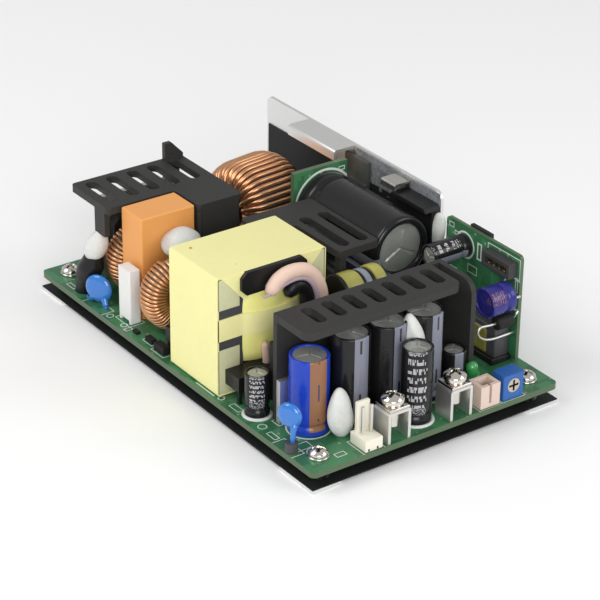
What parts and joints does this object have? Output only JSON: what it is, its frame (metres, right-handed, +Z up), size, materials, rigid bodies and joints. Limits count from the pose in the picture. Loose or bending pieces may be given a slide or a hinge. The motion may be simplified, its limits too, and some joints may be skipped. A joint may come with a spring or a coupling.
{
  "type": "open-frame switching power supply",
  "caption": "Open-frame switching power supply on an L-shaped aluminium bracket, with taped transformer, wound chokes, slotted covers and screw terminals.",
  "frame": {"origin": "middle of the outline on the underside of the aluminium bracket", "axes": "+X along the long side towards the output terminals, +Y towards the upright wall, +Z up"},
  "size_m": [0.127, 0.0762, 0.04],
  "materials": {
    "aluminium": "satin",
    "black_sheet": "matte",
    "board_green": "satin solder mask",
    "nickel": "bright nickel plate",
    "standoff_black": "blackened",
    "cover_black": "moulded, fine grain",
    "film_orange": "moulded box",
    "white_ceramic": "unglazed",
    "copper": "enamelled copper wire",
    "ferrite": "dark sintered",
    "core_green": "coated ring core",
    "sleeve_black": "shrunk sleeve",
    "sleeve_blue": "shrunk sleeve",
    "sleeve_violet": "shrunk sleeve",
    "tape_yellow": "polyester tape",
    "tape_bright": "polyester tape",
    "lead_sleeve": "soft sleeve",
    "bobbin_black": "moulded",
    "epoxy_black": "moulded package",
    "clip_steel": "spring steel",
    "tin": "tin plate",
    "header_ivory": "moulded",
    "header_pink": "moulded",
    "header_black": "moulded",
    "trimmer_blue": "moulded",
    "rotor_metal": "plated",
    "led_green": "tinted lens",
    "disc_blue": "dipped coating"
  },
  "bodies": {
    "chassis": {"base_bracket": "aluminium", "insulating_sheet": "black_sheet", "main_board": "board_green", "board_standoffs": "standoff_black", "board_screws": "nickel", "input_cover": "cover_black", "middle_cover": "cover_black", "output_cover": "cover_black", "film_capacitor": "film_orange", "ceramic_resistor": "white_ceramic", "line_choke_core_a": "core_green", "line_choke_core_b": "core_green", "boost_choke_core": "ferrite", "line_choke_winding_a": "copper", "line_choke_winding_b": "copper", "boost_choke_winding": "copper", "line_fuse": "sleeve_black", "input_heatsink": "aluminium", "bridge_rectifier": "epoxy_black", "fan_header": "header_ivory", "signal_header": "header_pink", "input_header": "header_ivory", "capacitor_board": "board_green", "bulk_capacitor_upper": "sleeve_black", "bulk_capacitor_lower": "sleeve_black", "output_capacitor_blue": "sleeve_blue", "output_capacitor_1": "sleeve_black", "output_capacitor_2": "sleeve_black", "output_capacitor_3": "sleeve_black", "output_capacitor_front": "sleeve_black", "output_capacitor_small": "sleeve_black", "start_capacitor": "sleeve_black", "transformer_core_lower": "ferrite", "transformer_core_upper": "ferrite", "transformer_bobbin": "bobbin_black", "transformer_winding": "tape_bright", "transformer_wrap": "tape_yellow", "transformer_leads": "lead_sleeve", "resonant_inductor": "tape_bright", "power_transistor": "epoxy_black", "device_boot": "epoxy_black", "spring_clip": "clip_steel", "output_heatsink": "aluminium", "output_rectifiers": "epoxy_black", "terminal_brackets": "tin", "terminal_screws": "nickel", "trimmer_body": "trimmer_blue", "status_led": "led_green", "control_board": "board_green", "control_header": "header_black", "control_capacitor_grey": "sleeve_black", "control_capacitor_violet": "sleeve_violet", "control_diode": "epoxy_black", "auxiliary_transformer": "tape_bright", "disc_capacitor_left": "disc_blue", "disc_capacitor_front": "disc_blue", "lead_bead": "ferrite", "chip_parts": "epoxy_black"},
    "trimmer_rotor": {"trimmer_rotor": "rotor_metal"}
  },
  "joints": [
    {"name": "trimmer_turn", "type": "hinge", "parent": "chassis", "child": "trimmer_rotor", "pos_m": [0.063, 0.02365, 0.0096], "axis": [1, 0, 0], "range_deg": [-125, 125]}
  ]
}
